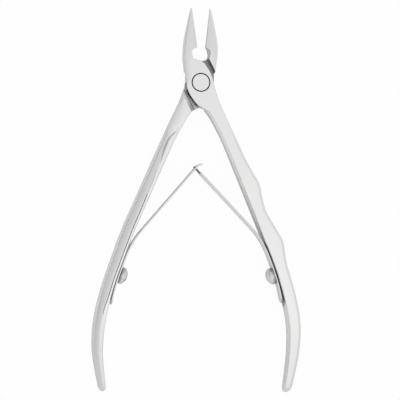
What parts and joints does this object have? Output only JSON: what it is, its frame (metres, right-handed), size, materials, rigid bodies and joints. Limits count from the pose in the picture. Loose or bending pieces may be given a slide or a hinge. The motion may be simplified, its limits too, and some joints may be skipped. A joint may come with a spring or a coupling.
{
  "type": "cuticle nipper",
  "caption": "Cuticle nipper: crossed steel levers on a flush rivet, pointed cutting jaws, bowed handles and hooked leaf springs that push the handles apart.",
  "frame": {"origin": "on the rivet's axis, in the plane of the back faces that the nipper lies on", "axes": "+Y from the rivet to the jaw tips, +Z along the rivet out of the front face with the visible head, +X to the side of the fingered handle"},
  "size_m": [0.0655, 0.1203, 0.0064],
  "materials": {
    "lever_steel": "satin polished",
    "rivet_steel": "satin polished",
    "spring_steel": "satin",
    "screw_steel": "polished"
  },
  "bodies": {
    "front_lever": {"front_lever": "lever_steel", "right_leaf_spring": "spring_steel", "right_spring_screw": "screw_steel"},
    "rear_lever": {"rear_lever": "lever_steel", "pivot_rivet": "rivet_steel", "left_leaf_spring": "spring_steel", "left_spring_screw": "screw_steel"}
  },
  "joints": [
    {"name": "pivot", "type": "hinge", "parent": "front_lever", "child": "rear_lever", "pos_m": [0, 0, 0], "axis": [0, 0, 1], "range_deg": [-2, 13.2], "stiffness_Nm_per_rad": 2, "deforming": ["left_leaf_spring", "right_leaf_spring"]}
  ]
}
